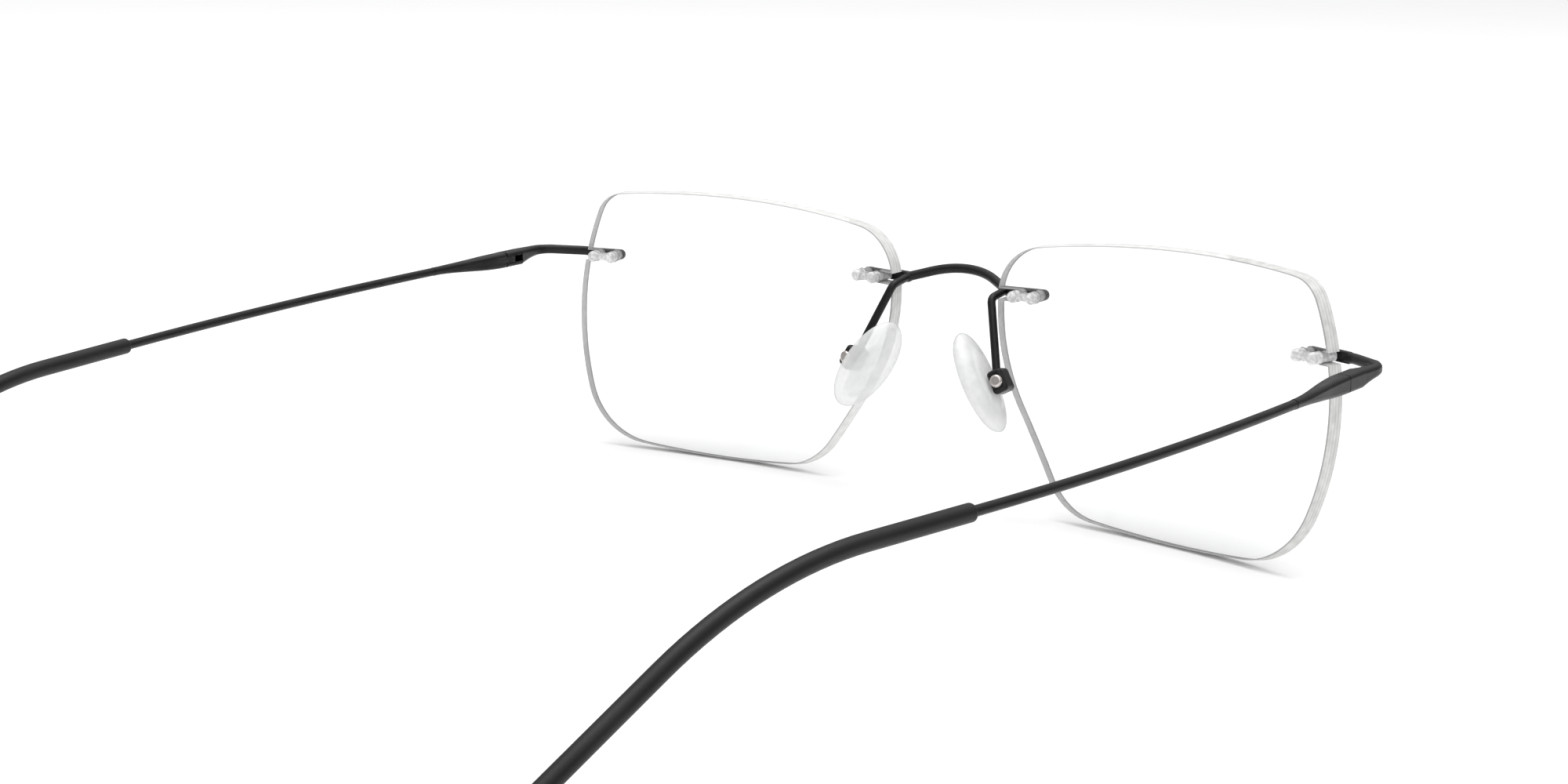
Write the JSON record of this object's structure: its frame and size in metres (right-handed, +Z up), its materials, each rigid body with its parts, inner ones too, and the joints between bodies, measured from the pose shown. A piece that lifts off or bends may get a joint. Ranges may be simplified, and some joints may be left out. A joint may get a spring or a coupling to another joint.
{
  "type": "rimless eyeglasses",
  "caption": "Rimless eyeglasses: clear lenses held by notch-and-hole compression mounts, black wire bridge and folding wire temples, clear silicone nose pads and black ear sleeves.",
  "frame": {"origin": "middle of the floor that the open glasses cover when they stand on a table", "axes": "+X towards the wearer's left, +Y from the lenses back along the temples, +Z up"},
  "size_m": [0.1372, 0.1552, 0.0378],
  "materials": {
    "clear_lens": "clear, polished, anti-reflection coated",
    "black_metal": "satin black plating",
    "clear_plug": "clear moulded plastic",
    "clear_silicone": "clear soft silicone",
    "pad_core": "clear hard plastic",
    "silver_screw": "polished steel",
    "black_sleeve": "satin black"
  },
  "bodies": {
    "front": {"bridge": "black_metal", "lens_left": "clear_lens", "bridge_pins_left": "black_metal", "endpiece_pins_left": "black_metal", "plug_nasal_left": "clear_plug", "plug_temporal_left": "clear_plug", "endpiece_left": "black_metal", "hinge_pin_left": "black_metal", "pad_box_left": "black_metal", "pad_screw_left": "silver_screw", "pad_arm_left": "black_metal", "lens_right": "clear_lens", "bridge_pins_right": "black_metal", "endpiece_pins_right": "black_metal", "plug_nasal_right": "clear_plug", "plug_temporal_right": "clear_plug", "endpiece_right": "black_metal", "hinge_pin_right": "black_metal", "pad_box_right": "black_metal", "pad_screw_right": "silver_screw", "pad_arm_right": "black_metal"},
    "temple_left": {"temple_left": "black_metal", "ear_sleeve_left": "black_sleeve"},
    "temple_right": {"temple_right": "black_metal", "ear_sleeve_right": "black_sleeve"},
    "nose_pad_left": {"nose_pad_core_left": "pad_core", "nose_pad_left": "clear_silicone"},
    "nose_pad_right": {"nose_pad_core_right": "pad_core", "nose_pad_right": "clear_silicone"}
  },
  "joints": [
    {"name": "fold_left", "type": "hinge", "parent": "front", "child": "temple_left", "pos_m": [0.06698, -0.05729, 0.02719], "axis": [0, 0.0459, 0.9989], "range_deg": [0, 85]},
    {"name": "fold_right", "type": "hinge", "parent": "front", "child": "temple_right", "pos_m": [-0.06698, -0.05729, 0.02719], "axis": [0, -0.0459, -0.9989], "range_deg": [0, 80]},
    {"name": "pad_rock_left", "type": "hinge", "parent": "front", "child": "nose_pad_left", "pos_m": [0.01204, -0.06795, 0.01824], "axis": [-0.1928, -0.967, -0.1664], "range_deg": [-8, 8]},
    {"name": "pad_rock_right", "type": "hinge", "parent": "front", "child": "nose_pad_right", "pos_m": [-0.01204, -0.06795, 0.01824], "axis": [-0.1928, 0.967, 0.1664], "range_deg": [-8, 8]}
  ]
}
